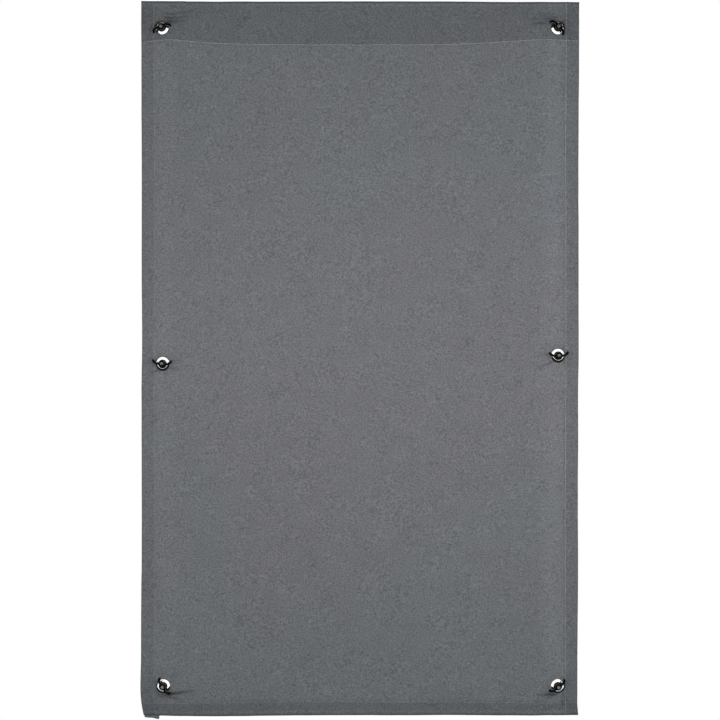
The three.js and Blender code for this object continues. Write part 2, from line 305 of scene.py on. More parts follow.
def vinyl_material():
    """Clear soft vinyl, slightly hazy, with faint flow lines."""
    tree = new_material("clear vinyl")
    point, _ = tree.position()
    haze = tree.noise(point, 6 * MM, 3, 0.6)
    flow = tree.noise(tree.stretched(point, (1, 3, 1)), 2.5 * MM, 2, 0.5)
    color = tree.mix(haze, (0.86, 0.9, 0.9), (0.95, 0.97, 0.97))
    return tree.surface(
        Base_Color=color,
        Roughness=0.1 + haze * 0.14,
        Normal=tree.bump(flow, 0.08 * MM, 0.3),
        Transmission_Weight=0.85,
        IOR=1.5,
    )


# ---- The sheet's shape ----

REST_LEVEL = -3.4 * MM  # middle of the cloth where it lies back near the pane
HOLD_RADIUS = 9 * MM  # cloth that an eyelet clamps
SIM_CELL = 8 * MM
SIM_FRAMES = 60
SIM_SKIN = 1.2 * MM  # the simulation keeps the cloth this far off the pane
SIM_GAP = 0.6 * MM  # between the cloth and the pane while it settles
SIM_PANE_DEPTH = 30 * MM
SIM_FRICTION = 8
SIM_PANE_REACH = 0.8
SIM_WEIGHT = 7.5 * 2 * HALF_WIDTH * 2 * HALF_HEIGHT  # kilograms, at 7.5 to a square metre
SIM_PULL = (0, 30, -1)  # mostly towards the pane, and a little down
CLOTH_SETTINGS = {
    "quality": 6,
    "tension_stiffness": 15,
    "compression_stiffness": 15,
    "shear_stiffness": 20,
    "bending_stiffness": 15,
    "shrink_min": -0.002,  # a little slack
    "tension_damping": 8,
    "compression_damping": 8,
    "bending_damping": 2,
    "air_damping": 1,
}


def sim_lines(half):
    count = round(2 * half / SIM_CELL) + 1
    return np.linspace(-half, half, count)


SIM_X = sim_lines(HALF_WIDTH)
SIM_Z = sim_lines(HALF_HEIGHT)


SQUARE = ((-1, -1), (1, -1), (1, 1), (-1, 1))


def grid_faces(rows, columns):
    """Quads over a grid of vertices numbered row by row."""
    return [
        (r * columns + c, r * columns + c + 1, (r + 1) * columns + c + 1, (r + 1) * columns + c)
        for r in range(rows - 1)
        for c in range(columns - 1)
    ]


def put_in_scene(name, data):
    made = bpy.data.objects.new(name, data)
    bpy.context.collection.objects.link(made)
    return made


def new_object(name, verts, faces):
    mesh = bpy.data.meshes.new(name)
    mesh.from_pydata([tuple(v) for v in verts], [], faces)
    return put_in_scene(name, mesh)


def pane_for_simulation():
    """The surface that the cloth settles on."""
    corners = [(x * SIM_PANE_REACH, 0, z * SIM_PANE_REACH) for x, z in SQUARE]
    pane = new_object("settling pane", corners, [(0, 1, 2, 3)])
    pane.location.y = REST_LEVEL + SIM_SKIN
    pane.modifiers.new("Collision", "COLLISION")
    pane.collision.thickness_outer = SIM_GAP
    pane.collision.thickness_inner = SIM_PANE_DEPTH
    pane.collision.cloth_friction = SIM_FRICTION
    return pane


def simulated_settling():
    """Where each point of the flat sheet goes when it hangs from the eyelets and lies back."""
    columns, rows = len(SIM_X), len(SIM_Z)
    flat = [(x, SHEET_LEVEL, z) for z in SIM_Z for x in SIM_X]
    sheet = new_object("settling sheet", flat, grid_faces(rows, columns))
    held = sheet.vertex_groups.new(name="held")
    clamped = from_eyelet(*np.meshgrid(SIM_X, SIM_Z)).ravel() < HOLD_RADIUS
    held.add(np.flatnonzero(clamped).tolist(), 1.0, "REPLACE")
    pane = pane_for_simulation()
    cloth = sheet.modifiers.new("Cloth", "CLOTH")
    settings = cloth.settings
    settings.mass = SIM_WEIGHT / len(flat)
    for name, value in CLOTH_SETTINGS.items():
        setattr(settings, name, value)
    settings.vertex_group_mass = "held"
    cloth.collision_settings.distance_min = SIM_GAP
    cloth.collision_settings.use_self_collision = False
    cloth.point_cache.frame_start = 1
    cloth.point_cache.frame_end = SIM_FRAMES
    scene = bpy.context.scene
    scene.gravity = SIM_PULL
    for number in range(1, SIM_FRAMES + 1):
        scene.frame_set(number)
    settled = sheet.evaluated_get(bpy.context.evaluated_depsgraph_get()).data
    place = np.empty(3 * len(flat))
    settled.vertices.foreach_get("co", place)
    scene.frame_set(1)
    bpy.data.objects.remove(sheet)
    bpy.data.objects.remove(pane)
    moved = place.reshape(rows, columns, 3)
    moved[..., 0] -= SIM_X[None, :]
    moved[..., 2] -= SIM_Z[:, None]
    return moved


def softened(field, passes):
    """The field, with each value nearer to the mean of its neighbours."""
    for _ in range(passes):
        wide = np.pad(field, ((1, 1), (1, 1), (0, 0)), mode="reflect", reflect_type="odd")
        near = (wide[:-2, 1:-1] + wide[2:, 1:-1] + wide[1:-1, :-2] + wide[1:-1, 2:]) / 4
        field = (field + near) / 2
    return field


settled = softened(simulated_settling(), 2)


def cubic_weights(t):
    """Catmull-Rom weights of the four neighbours of a point."""
    return [
        (-t + 2 * t**2 - t**3) / 2,
        (2 - 5 * t**2 + 3 * t**3) / 2,
        (t + 4 * t**2 - 3 * t**3) / 2,
        (-(t**2) + t**3) / 2,
    ]


def sample(field, x, z):
    """The field at any points, smooth between its grid's."""
    i = (x - SIM_X[0]) / (SIM_X[1] - SIM_X[0])
    j = (z - SIM_Z[0]) / (SIM_Z[1] - SIM_Z[0])
    i = np.clip(i, 0, len(SIM_X) - 1.001)
    j = np.clip(j, 0, len(SIM_Z) - 1.001)
    i0, j0 = np.floor(i).astype(int), np.floor(j).astype(int)
    total = 0
    for b, wz in enumerate(cubic_weights(j - j0)):
        row = np.clip(j0 + b - 1, 0, len(SIM_Z) - 1)
        for a, wx in enumerate(cubic_weights(i - i0)):
            column = np.clip(i0 + a - 1, 0, len(SIM_X) - 1)
            total = total + (wx * wz)[..., None] * field[row, column]
    return total


def waves(x, z, seed, count, longest, shortest):
    """A sum of sine waves in random directions, about -1 to 1."""
    draw = np.random.default_rng(seed)
    total = np.zeros_like(x)
    for _ in range(count):
        angle = draw.uniform(0, 2 * math.pi)
        length = draw.uniform(shortest, longest)
        phase = draw.uniform(0, 2 * math.pi)
        total += np.sin((x * math.cos(angle) + z * math.sin(angle)) * 2 * math.pi / length + phase)
    return total / math.sqrt(count)


def smooth_ramp(value, start, end):
    t = np.clip((value - start) / (end - start), 0, 1)
    return t * t * (3 - 2 * t)


def near_line(distance, width):
    """1 on a line and falling away from it."""
    return np.exp(-((distance / width) ** 2))


# Creases that the clamped eyelets pull into the cloth. Each starts beside the eyelet's centre, at
# an offset in x and z, and has a bearing in degrees, a length, and a depth. All in millimetres.
CREASES = {
    "top_right": [(-9, 6, 183, 36, 1.6), (-12, 11, 176, 40, 1.0), (-6, 15, 171, 36, 0.8),
                  (-9, 20, 175, 52, 0.6), (8, 9, 60, 16, 0.7)],
    "top_left": [(7, 13, 2, 34, 1.5), (10, 8, -6, 26, 1.4), (8, 19, 4, 44, 0.9),
                 (-3, -12, 262, 14, 0.5)],
    "bottom_left": [(8, -11, 3, 38, 2.2), (4, -15, -14, 34, 0.8), (-6, -13, 215, 18, 0.6)],
    "bottom_right": [(-5, -12, 182, 28, 1.9), (-9, -16, 196, 26, 0.7), (8, -12, 300, 20, 0.9),
                     (7, -22, 262, 12, 1.1)],
    "mid_left": [(-8, -9, 196, 16, 0.8), (10, -6, -10, 28, 0.7), (11, 3, 6, 18, 0.4)],
    "mid_right": [(-9, -9, 204, 26, 1.0), (-11, 2, 178, 18, 0.5), (9, -9, -20, 16, 0.5)],
}
CREASE_WIDTH = 1.5 * MM


def crease_depth(x, z):
    """Depth of the creases, towards the pane."""
    total = np.zeros_like(x)
    for place, eyelet in zip(PLACES, EYELETS):
        for right, up, bearing, length, depth in CREASES[place]:
            angle = math.radians(bearing)
            dx, dz = x - eyelet.x - right * MM, z - eyelet.z - up * MM
            along = dx * math.cos(angle) + dz * math.sin(angle)
            aside = dz * math.cos(angle) - dx * math.sin(angle)
            bend = 0.06 * along**2 / MM / 40
            run = np.clip(along / (length * MM), -0.2, 1)
            fade = np.where(run < 0, 1 + run / 0.2, 1 - run)
            width = CREASE_WIDTH * (1 + np.clip(run, 0, 1))
            total += depth * MM * fade * near_line(aside - bend, width)
    return total


PUCKER = 0.55 * MM  # depth of the pleats
PUCKER_START = 6 * MM
PUCKER_REACH = 22 * MM


def pucker(x, z):
    """Small radial pleats where the eyelets clamp the cloth."""
    draw = np.random.default_rng(11)
    total = np.zeros_like(x)
    for eyelet in EYELETS:
        distance = np.hypot(x - eyelet.x, z - eyelet.z)
        angle = np.arctan2(z - eyelet.z, x - eyelet.x)
        lobes, phase = draw.integers(6, 9), draw.uniform(0, 2 * math.pi)
        start = np.clip((distance - HOLD_RADIUS) / PUCKER_START, 0, 1)
        reach = start * np.exp(-distance / PUCKER_REACH)
        total += PUCKER * reach * np.sin(lobes * angle + phase)
    return total


EDGE_DEPTH = 34 * MM  # how far in from an edge its unevenness reaches
SEAM_BOW_REACH = 26 * MM
SEAM_DENT = 0.22 * MM
SEAM_DENT_WIDTH = 1.3 * MM
UNEVEN = 0.22 * MM  # slow waves in the cloth between its eyelets
HELD_EASE = 5 * MM  # how soon past an eyelet's hold the cloth is free
SLOPE_STEP = 1 * MM  # over which the cloth's slope is taken
# The top seam runs higher beside the corner eyelets: x, and how far up, in millimetres.
SEAM_BOW = ((-300, 0.6), (-293, 1.2), (-277, 3.4), (-260, 5.0), (-243, 4.4), (-225, 2.8),
    (-200, 1.2), (-170, 0.2), (-140, 0), (120, 0), (160, 1.2), (190, 2.6), (220, 4.2), (244, 5.2),
    (258, 4.9), (271, 4.4), (294, 3.2), (300, 3))
# The edges are cut and folded a little unevenly: place along the edge, and how far out it is.
LEFT_EDGE = ((-483, -3.8), (-474, -1.6), (-462, -0.1), (-445, 0.5), (-410, -0.3), (-340, 0.1),
    (-270, -0.4), (-100, -0.4), (-40, -0.7), (0, -1.8), (30, -1.8), (90, -0.7), (190, -0.4),
    (320, -0.2), (483, -0.8))
RIGHT_EDGE = ((-483, -0.4), (-470, -1.9), (-420, -2.1), (-380, -1.4), (-300, -0.6), (-100, -0.6),
    (0, -0.6), (60, -0.4), (190, 0.7), (250, 0.3), (340, 0.2), (424, 0.3), (465, -0.2),
    (483, -0.2))
TOP_EDGE = ((-295, -1.2), (-200, -1.0), (-160, -0.6), (-80, 0), (0, 0.9), (80, 0.2), (160, -1.0),
    (240, -2.4), (280, -3.0), (295, -3.6))
BOTTOM_EDGE = ((-295, 0), (-250, 0), (-160, 0.8), (-80, 0.4), (0, 0.2), (160, -0.6), (250, -1.5),
    (295, -1.3))


def curve(table, at):
    """A table in millimetres, read off smoothly at any places."""
    places, values = np.array(table).T * MM
    fine = np.linspace(places[0], places[-1], 400)
    near = np.interp(fine, places, values)
    kernel = np.hanning(13)
    smooth = np.convolve(np.pad(near, 6, mode="edge"), kernel / kernel.sum(), mode="valid")
    return np.interp(at, fine, smooth)


def uneven(x, z):
    """How far the sewing and cutting leave the cloth from its true place, as x and z."""
    side_in, rise_in = HALF_WIDTH - EDGE_DEPTH, HALF_HEIGHT - EDGE_DEPTH
    aside = smooth_ramp(x, side_in, HALF_WIDTH) * curve(RIGHT_EDGE, z)
    aside = aside - smooth_ramp(-x, side_in, HALF_WIDTH) * curve(LEFT_EDGE, z)
    up = smooth_ramp(z, rise_in, HALF_HEIGHT) * curve(TOP_EDGE, x)
    up = up - smooth_ramp(-z, rise_in, HALF_HEIGHT) * curve(BOTTOM_EDGE, x)
    up = up + curve(SEAM_BOW, x) * near_line(z - TOP_SEAM_Z, SEAM_BOW_REACH)
    return aside, up


def seam_dent(x, z):
    """How far the stitches pull the two layers of a hem together."""
    sides = near_line(np.abs(x) - SIDE_SEAM_X, SEAM_DENT_WIDTH)
    across = sum(near_line(z - seam, SEAM_DENT_WIDTH) for seam in (TOP_SEAM_Z, BOTTOM_SEAM_Z))
    drawn = 1 + 0.5 * waves(x, z, 5, 5, 30 * MM, 12 * MM)
    return SEAM_DENT * np.clip(sides + across, 0, 1) * drawn


def mean_surface(x, z):
    """Middle of the front layer of cloth, as x, y and z arrays."""
    moved = sample(settled, x, z)
    y = moved[..., 1] + crease_depth(x, z) + pucker(x, z)
    y = y + UNEVEN * waves(x, z, 3, 9, 190 * MM, 60 * MM)
    held = np.clip((from_eyelet(x, z) - HOLD_RADIUS) / HELD_EASE, 0, 1)
    y = SHEET_LEVEL + (y - SHEET_LEVEL) * held
    aside, up = uneven(x, z)
    return np.stack([x + moved[..., 0] + aside * held, y, z + moved[..., 2] + up * held], -1)


def towards_pane(x, z):
    """Unit normals of the front layer, on the side of the pane."""
    east = mean_surface(x + SLOPE_STEP, z) - mean_surface(x - SLOPE_STEP, z)
    north = mean_surface(x, z + SLOPE_STEP) - mean_surface(x, z - SLOPE_STEP)
    normal = np.cross(north, east)
    return normal / np.linalg.norm(normal, axis=-1, keepdims=True)


# ---- Folding the hems ----

CLOTH_THICK = 0.45 * MM
FOLD = 0.42 * MM  # radius of a fold round nothing
CELL = 4.2 * MM
ARC_STEPS = 5
HEM_STEPS = 4
FINE = np.arange(-38, 38.1, 1.8) * MM  # closer lines round the eyelets
SEAM_LINES = (-2.6, -1.6, -0.8, 0, 0.8, 1.6, 2.6)  # closer lines beside a seam, in millimetres
LEAST_CELL = 0.15 * MM
FOLD_ARC = math.pi * FOLD  # length of cloth in a fold
HOLE_RADIUS = 5.6 * MM  # of the holes that the eyelets go through
HOLD_EDGE = (8.6 * MM, 9.8 * MM)  # from an eyelet's axis: hems lie flat, then fold free


def folded(u, edge):
    """A strip folded back at an edge: distance from the middle, and angle that it has turned."""
    flat_end = edge - FOLD
    beyond = u - flat_end
    turn = np.clip(beyond / FOLD, 0, math.pi)
    out = flat_end + FOLD * np.sin(turn) - np.maximum(beyond - FOLD_ARC, 0)
    return np.where(beyond < 0, u, out), turn


def strip_lines(edge, hem, seam, fine_at):
    """Grid lines from the middle of the sheet to the free edge of a hem, measured on the cloth."""
    flat_end = edge - FOLD
    lines = list(np.arange(0, flat_end - CELL / 2, CELL)) + [flat_end]
    lines += [seam + offset * MM for offset in SEAM_LINES]
    for spot in fine_at:
        lines += list(spot + FINE)
    lines = [line for line in lines if 0 <= line <= flat_end]
    lines += [flat_end + FOLD_ARC * i / ARC_STEPS for i in range(1, ARC_STEPS + 1)]
    hem_length = hem - FOLD
    hem_start = flat_end + FOLD_ARC
    lines += [hem_start + hem_length * i / HEM_STEPS for i in range(1, HEM_STEPS + 1)]
    if hem > 3 * SIDE_HEM:
        lines += list(np.arange(hem_start, hem_start + hem_length, CELL))
    lines += [hem_start + (flat_end - seam) + offset * MM for offset in SEAM_LINES]
    return np.array([line for line in lines if line <= hem_start + hem_length + 1e-9])


def spaced(lines):
    """The lines without those that nearly repeat the one before."""
    kept = [lines[0]]
    for line in lines[1:]:
        if line - kept[-1] > LEAST_CELL:
            kept.append(line)
    return np.array(kept)


def sheet_grid():
    """The cloth's own grid, flat: lines across and lines up, with both hems unfolded."""
    side = strip_lines(HALF_WIDTH, SIDE_HEM, SIDE_SEAM_X, [abs(EYELETS[0].x)])
    above = strip_lines(HALF_HEIGHT, TOP_HEM, TOP_SEAM_Z, [EYELETS[0].z])
    below = strip_lines(HALF_HEIGHT, BOTTOM_HEM, -BOTTOM_SEAM_Z, [-EYELETS[4].z])
    middle_lines = np.concatenate([eyelet.z + FINE / 2 for eyelet in EYELETS[2:4]])
    across = np.concatenate([-side[::-1], side])
    up = np.concatenate([-below[::-1], above, middle_lines])
    return [spaced(np.unique(np.round(lines, 7))) for lines in (across, up)]


def fold_sheet(u, v):
    """Where the flat cloth's points lie once its side hems, then the others, are turned.

    Gives x, z and the depth behind the front layer."""
    across, side_turn = folded(np.abs(u), HALF_WIDTH)
    x = np.sign(u) * across
    # Over the side hems there are four layers at the ends of the hems across, so they fold wider.
    hem_edge = HALF_WIDTH - SIDE_HEM
    over_side = smooth_ramp(across, hem_edge - 4 * MM, hem_edge - 0.3 * MM)
    for eyelet in EYELETS:
        gap = np.hypot(x - eyelet.x, np.abs(v) - abs(eyelet.z))
        over_side = over_side * smooth_ramp(gap, *HOLD_EDGE)
    radius = FOLD * (1 + 2 * over_side)
    up, turn = folded(np.abs(v), HALF_HEIGHT)
    depth = FOLD * (1 - np.cos(side_turn)) * np.cos(turn) + radius * (1 - np.cos(turn))
    return x, np.sign(v) * up, depth


def build_sheet():
    """The cloth with its top, bottom and right hems folded behind it, and the eyelets' holes."""
    u_lines, v_lines = sheet_grid()
    u, v = np.meshgrid(u_lines, v_lines)
    x, z, depth = fold_sheet(u, v)
    behind = smooth_ramp(depth, 0, 2 * FOLD)
    offset = depth + seam_dent(x, z) * (1 - 2 * behind)
    points = mean_surface(x, z) + towards_pane(x, z) * offset[..., None]
    faces = np.array(grid_faces(*u.shape))
    clear = from_eyelet(x.ravel()[faces].mean(1), z.ravel()[faces].mean(1)) > HOLE_RADIUS
    cloth = new_object("sunshade_cloth", points.reshape(-1, 3), faces[clear].tolist())
    add_shade(cloth.data, shade_of(x, z).ravel())
    cloth.data.materials.append(FACE_CLOTH)
    cloth.data.materials.append(REVERSE_CLOTH)
    remove_loose(cloth.data)
    thicken(cloth)
    return cloth


def thicken(piece):
    """Gives a sheet its thickness; a second material, if it has one, goes on the pane's side."""
    solid = piece.modifiers.new("Thickness", "SOLIDIFY")
    solid.thickness = CLOTH_THICK
    solid.offset = 0
    solid.material_offset = 1
    apply_modifiers(piece)
    shade_smooth(piece)


def add_shade(mesh, values):
    shade = mesh.attributes.new(SHADE, "FLOAT", "POINT")
    shade.data.foreach_set("value", values)


# Painted shade: how much darker the cloth is painted where a hem lies behind it, and the softness
# of that step.
HEM_SHADE = {"top": 0.16, "bottom": 0.2, "left": 0.1, "right": 0.115}
HEM_SHADE_EDGE = 0.9 * MM


def shade_of(x, z):
    """Painted shade on the cloth: darker over a hem, darkest on the folds, with some painted light.
    """
    past_seam = {
        "top": z - TOP_SEAM_Z,
        "bottom": BOTTOM_SEAM_Z - z,
        "left": -x - SIDE_SEAM_X,
        "right": x - SIDE_SEAM_X,
    }
    shade = np.ones_like(x)
    for hem, past in past_seam.items():
        shade = shade * (1 - HEM_SHADE[hem] * smooth_ramp(past, -HEM_SHADE_EDGE, HEM_SHADE_EDGE))
    from_top, from_bottom = HALF_HEIGHT - z, HALF_HEIGHT + z
    from_side = HALF_WIDTH - np.abs(x)
    # Painted shade along the folded edges at the top, bottom and sides.
    shade = shade * (1 - 0.45 * smooth_ramp(-from_top, -2.4 * MM, -0.9 * MM))
    shade = shade * (1 - 0.34 * smooth_ramp(-from_bottom, -3.4 * MM, -2 * MM))
    shade = shade * (1 - 0.16 * smooth_ramp(-from_side, -1.6 * MM, -0.2 * MM))
    # Painted highlights on the rolls of the folds, painted shade in strips beside the seams, and
    # painted light on the cloth just inside the side seams.
    fold_highlight = near_line(from_top - 4.2 * MM, 1.2 * MM) + near_line(from_bottom - 5 * MM, 1.4 * MM)
    seam_shade = near_line(z - BOTTOM_SEAM_Z - 3 * MM, 1.4 * MM)
    seam_shade = seam_shade + near_line(x - SIDE_SEAM_X + 2.2 * MM, 1.4 * MM)
    painted_light_left = near_line(x + SIDE_SEAM_X - 16 * MM, 14 * MM)
    painted_light_right = near_line(x - SIDE_SEAM_X + 16 * MM, 17 * MM)
    shade = shade * (1 + 0.045 * painted_light_left + 0.1 * painted_light_right)
    # Painted shade in the creases' hollows, and round each eyelet a painted shadow with a little
    # soil.
    crease_shade = np.clip(crease_depth(x, z) / (2 * MM), 0, 1)
    eyelet_shadow_and_soil = sum(near_line(np.hypot(x - e.x, z - e.z), 15 * MM) for e in EYELETS)
    return shade * (1 + 0.16 * fold_highlight) * (1 - 0.07 * seam_shade) * (1 - 0.8 * crease_shade) * (1 - 0.18 * eyelet_shadow_and_soil)


def remove_loose(mesh):
    edit = bmesh.new()
    edit.from_mesh(mesh)
    loose = [vertex for vertex in edit.verts if not vertex.link_faces]
    bmesh.ops.delete(edit, geom=loose, context="VERTS")
    edit.to_mesh(mesh)
    edit.free()


def apply_modifiers(piece):
    deps = bpy.context.evaluated_depsgraph_get()
    mesh = bpy.data.meshes.new_from_object(piece.evaluated_get(deps))
    piece.modifiers.clear()
    old = piece.data
    piece.data = mesh
    mesh.name = piece.name
    bpy.data.meshes.remove(old)


def shade_smooth(piece):
    piece.data.polygons.foreach_set("use_smooth", [True] * len(piece.data.polygons))
    piece.data.update()


def new_piece(name, verts, faces, material):
    piece = new_object(name, verts, faces)
    piece.data.validate()
    piece.data.materials.append(material)
    shade_smooth(piece)
    return piece


# ---- Stitches ----

STITCH = 3.4 * MM
STITCH_GAP = 0.5 * MM
STITCH_WANDER = 0.12 * MM  # to either side of the seam
THREAD_RADIUS = 0.26 * MM
STITCH_SIDES = 6
STITCH_RINGS = 5


def stitch_faces():
    """Faces of one stitch: a tube of rings with closed ends."""
    faces = []
    for start in range(0, STITCH_SIDES * (STITCH_RINGS - 1), STITCH_SIDES):
        for k in range(STITCH_SIDES):
            a, b = start + k, start + (k + 1) % STITCH_SIDES
            faces.append((a, b, b + STITCH_SIDES, a + STITCH_SIDES))
    last = STITCH_SIDES * (STITCH_RINGS - 1)
    return faces + [tuple(reversed(range(STITCH_SIDES))), tuple(range(last, last + STITCH_SIDES))]


def stitch_line(name, ends, face, material, seed):
    """One thread of a lockstitch seam: a row of short arched stitches on one face of the cloth."""
    (x0, z0), (x1, z1) = ends
    length = math.hypot(x1 - x0, z1 - z0)
    run = ((x1 - x0) / length, (z1 - z0) / length)
    count = int(length / STITCH)
    along = (np.arange(count) + 0.5) / count * length
    wander = np.random.default_rng(seed).normal(0, STITCH_WANDER, count)
    x = x0 + run[0] * along - run[1] * wander
    z = z0 + run[1] * along + run[0] * wander
    side = -1 if face == "front" else 1
    half = (STITCH - STITCH_GAP) / 2
    verts = []
    for share in np.linspace(-1, 1, STITCH_RINGS):
        px, pz = x + run[0] * share * half, z + run[1] * share * half
        normal = towards_pane(px, pz)
        lift = surface_lift(px, pz, side) + side * THREAD_RADIUS * (0.75 - 0.9 * share**2)
        centre = mean_surface(px, pz) + normal * lift[..., None]
        across = np.cross(normal, (run[0], 0, run[1]))
        thick = THREAD_RADIUS * math.sqrt(max(1 - 0.82 * share**2, 0.05))
        for k in range(STITCH_SIDES):
            angle = 2 * math.pi * k / STITCH_SIDES
            aside, out = thick * math.cos(angle), thick * math.sin(angle)
            verts.append(centre + across * aside + normal * out)
    firsts = range(0, count * len(verts), len(verts))
    faces = [tuple(first + i for i in face) for first in firsts for face in stitch_faces()]
    return new_piece(name, np.stack(verts, 1).reshape(-1, 3), faces, material)


def surface_lift(x, z, side):
    """Height of the cloth's face over the middle of the front layer, at a seam."""
    dent = seam_dent(x, z)
    if side < 0:
        return dent - CLOTH_THICK / 2
    _, _, depth = fold_sheet(*unfolded(x, z))
    return depth - dent + CLOTH_THICK / 2


def unfolded(x, z):
    """The point of the flat cloth that lies outermost behind (x, z)."""
    across = (z > HALF_HEIGHT - TOP_HEM) | (-z > HALF_HEIGHT - BOTTOM_HEM)
    v = np.where(across, np.sign(z) * (2 * (HALF_HEIGHT - FOLD) + FOLD_ARC - np.abs(z)), z)
    u = np.where(across, x, np.sign(x) * (2 * (HALF_WIDTH - FOLD) + FOLD_ARC - np.abs(x)))
    return u, v


# ---- Turned and moulded pieces ----


def rounded(profile, radius, steps=4):
    """A closed profile of (r, y) points with each marked corner rounded.

    A point is (r, y) for a sharp corner or (r, y, share) for a corner of radius * share."""
    out = []
    count = len(profile)
    for i, point in enumerate(profile):
        share = point[2] if len(point) > 2 else 0
        here = Vector(point[:2])
        if not share:
            out.append(here)
            continue
        back = Vector(profile[i - 1][:2]) - here
        ahead = Vector(profile[(i + 1) % count][:2]) - here
        cut = min(radius * share, back.length * 0.49, ahead.length * 0.49)
        start, end = here + back.normalized() * cut, here + ahead.normalized() * cut
        for k in range(steps + 1):
            t = k / steps
            out.append(start * (1 - t) ** 2 + here * 2 * t * (1 - t) + end * t**2)
    return out


def circle(radius, y, sides):
    """The points of a ring about the y axis, or one point where it has no radius."""
    if radius < 1e-7:
        return [Vector((0, y, 0))]
    turns = [2 * math.pi * k / sides for k in range(sides)]
    return [Vector((radius * math.cos(turn), y, radius * math.sin(turn))) for turn in turns]


def skin(rings, centre):
    """Verts and faces of a surface through rings of points, moved to the axis through centre."""
    verts, numbers, faces = [], [], []
    for ring in rings:
        numbers.append(range(len(verts), len(verts) + len(ring)))
        verts += [point + Vector((centre.x, 0, centre.z)) for point in ring]
    pairs = list(zip(numbers, numbers[1:]))
    if len(rings[0]) > 1 and len(rings[-1]) > 1:
        pairs.append((numbers[-1], numbers[0]))
    sides = max(len(ring) for ring in rings)
    for a, b in pairs:
        for k in range(sides):
            n = (k + 1) % sides
            if len(a) == 1:
                faces.append((a[0], b[n], b[k]))
            elif len(b) == 1:
                faces.append((a[k], a[n], b[0]))
            else:
                faces.append((a[k], a[n], b[n], b[k]))
    return verts, faces


def lathe(profile, sides, centre=Vector()):
    """Verts and faces of a profile of (r, y), pane side first, turned about the axis at centre."""
    return skin([circle(r, y, sides) for r, y in profile], centre)


def turned(name, profile, sides, centre, material):
    return new_piece(name, *lathe(profile, sides, centre), material)


EYELET_HOLE = 4.2 * MM
FLANGE_RADIUS = half_width("eyelet_top_left")
FLANGE_RISE = 2 * MM
FLANGE_BACK = box_of("eyelet_top_left")[0].y + FLANGE_RISE
CREST_RADIUS = 5.95 * MM  # where the flange stands highest
FLANGE_EDGE = 0.4 * MM
EYELET_METAL = 0.5 * MM
ROLL_RADIUS = 1.2 * MM
ROLL_STEPS = 8
FLANGE_STEPS = 20
RING_RADIUS = half_width("eyelet_ring_top_left")
RING_HOLE = 5.3 * MM
RING_ROUNDING = 0.25 * MM
EYELET_SIDES = 72


def dome(radius):
    """Height of the flange's face at that radius: steep beside the hole, easy towards its edge."""
    if radius < CREST_RADIUS:
        fall = ((CREST_RADIUS - radius) / (CREST_RADIUS - EYELET_HOLE)) ** 1.6
    else:
        fall = ((radius - CREST_RADIUS) / (FLANGE_RADIUS - CREST_RADIUS)) ** 2
    return FLANGE_EDGE + (FLANGE_RISE - FLANGE_EDGE) * (1 - fall)


def eyelet_profile(place):
    """Barrel rolled over behind, then the domed flange in front, as one bent sheet of metal."""
    roll_back = box_of(f"eyelet_{place}")[1].y
    roll_middle = EYELET_HOLE + ROLL_RADIUS
    half_turn = [math.pi * k / ROLL_STEPS for k in range(ROLL_STEPS + 1)]
    points = [(EYELET_HOLE, roll_back - ROLL_RADIUS - 0.1 * MM)]
    for radius, angles in ((ROLL_RADIUS, half_turn), (ROLL_RADIUS - EYELET_METAL, half_turn[::-1])):
        for angle in angles:
            back = roll_back - ROLL_RADIUS + radius * math.sin(angle)
            points.append((roll_middle - radius * math.cos(angle), back))
    points.append((EYELET_HOLE + EYELET_METAL, FLANGE_BACK - FLANGE_EDGE))
    inside = EYELET_HOLE + 1.3 * EYELET_METAL
    for radius in np.linspace(inside, FLANGE_RADIUS - 0.1 * MM, FLANGE_STEPS):
        points.append((radius, FLANGE_BACK - max(dome(radius) - EYELET_METAL, 0)))
    for radius in np.linspace(FLANGE_RADIUS, EYELET_HOLE, FLANGE_STEPS + 1):
        points.append((radius, FLANGE_BACK - dome(radius)))
    return points


def build_eyelet(place, centre):
    metal = turned(f"eyelet_metal_{place}", eyelet_profile(place), EYELET_SIDES, centre, NICKEL)
    front, back = (corner.y for corner in box_of(f"eyelet_ring_{place}"))
    ring = [(RING_HOLE, front), (RING_HOLE, back, 1)]
    ring += [(RING_RADIUS, back, 1), (RING_RADIUS, front, 1)]
    ring = rounded(ring, RING_ROUNDING)
    return metal, turned(f"eyelet_backing_{place}", ring, EYELET_SIDES, centre, NICKEL)


CUP_STEPS = 10
CUP_SIDES = 96
CUP_LAND = 2.4 * MM  # width of the lip that seals
CUP_HOLLOW = 3.2 * MM
CUP_NECK = 7 * MM  # radius
CUP_FOOT = -10 * MM  # where the bell meets the neck
# The rest of the cup's profile, in millimetres as radius and place along the axis: its lip from
# the rim, the groove from the neck's radius at the foot, and the head from its front face.
CUP_LIP = ((-0.35, -0.02), (0, -0.4), (-0.15, -0.95))
NECK_GROOVE = ((-0.5, -0.7), (-0.6, -1.6), (-0.1, -2.3))
CUP_HEAD = ((7, 0.8), (6.75, 0.25), (6.1, 0), (3.1, 0), (2.72, 0.3), (2.72, 2.8), (5.5, 2.8),
            (5.5, 4.6), (0, 4.6))


